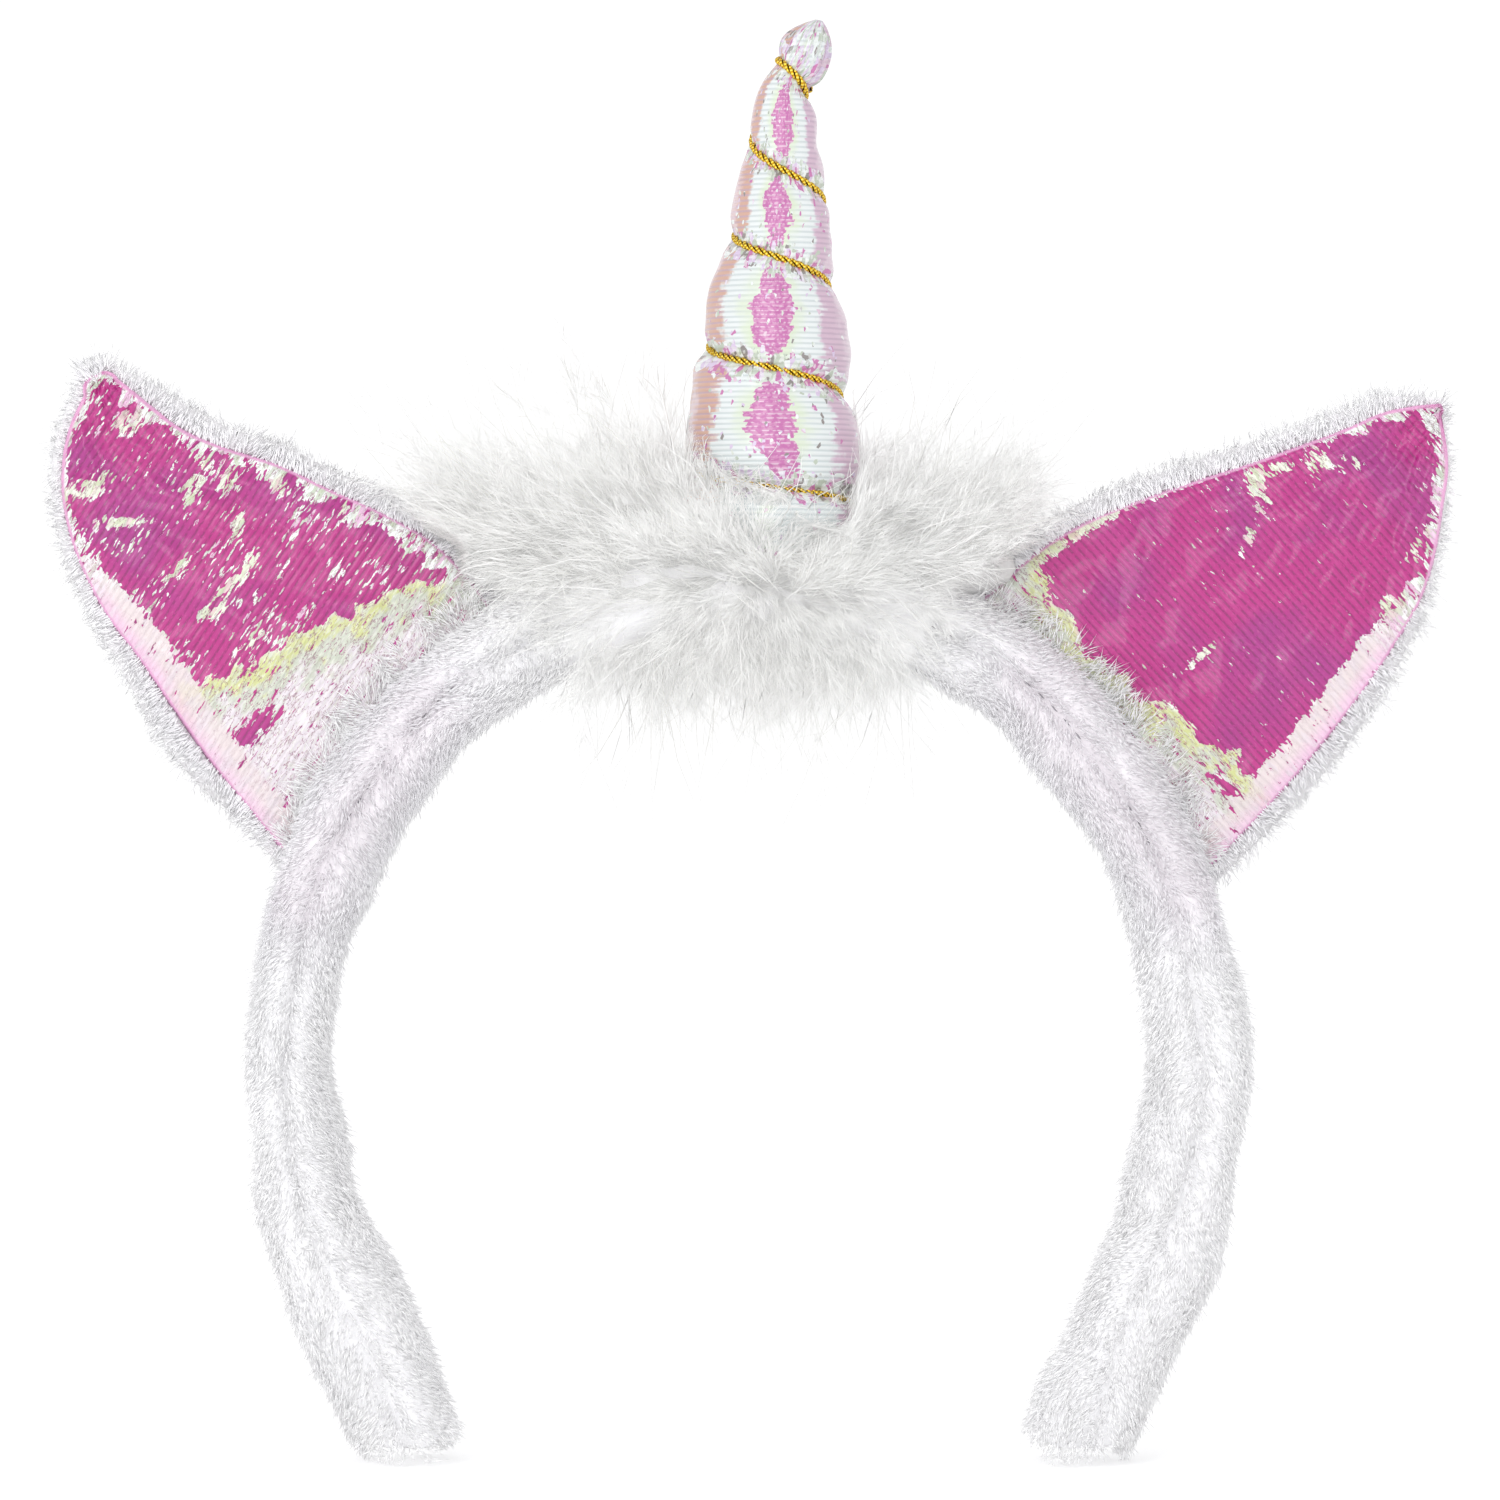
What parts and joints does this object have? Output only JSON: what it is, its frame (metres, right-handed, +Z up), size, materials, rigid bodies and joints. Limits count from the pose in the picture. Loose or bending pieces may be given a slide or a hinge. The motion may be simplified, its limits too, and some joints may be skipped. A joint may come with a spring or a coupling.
{
  "type": "unicorn horn headband",
  "caption": "Plush covered headband with a stuffed iridescent horn wound with gold cord, a down trim at its foot and pointed foil fronted ears.",
  "frame": {"origin": "on the floor that the two ends of the band stand on, under the middle of the object", "axes": "+Z up along the horn, +X to the right as seen from the front where the foil faces are, +Y from front to back"},
  "size_m": [0.2097, 0.0528, 0.216],
  "materials": {
    "plush": "white short pile plush",
    "marabou_down": "loose white down",
    "horn_cloth": "pearly iridescent ribbed cloth, glossy",
    "gold_cord": "twisted metallic thread",
    "ear_foil": "magenta iridescent ribbed foil cloth, crinkled and glossy"
  },
  "bodies": {
    "root": {"band": "plush", "marabou_trim": "marabou_down", "horn": "horn_cloth", "horn_cord": "gold_cord", "ear_left_foil": "ear_foil", "ear_left_plush": "plush", "ear_right_foil": "ear_foil", "ear_right_plush": "plush"}
  },
  "joints": []
}
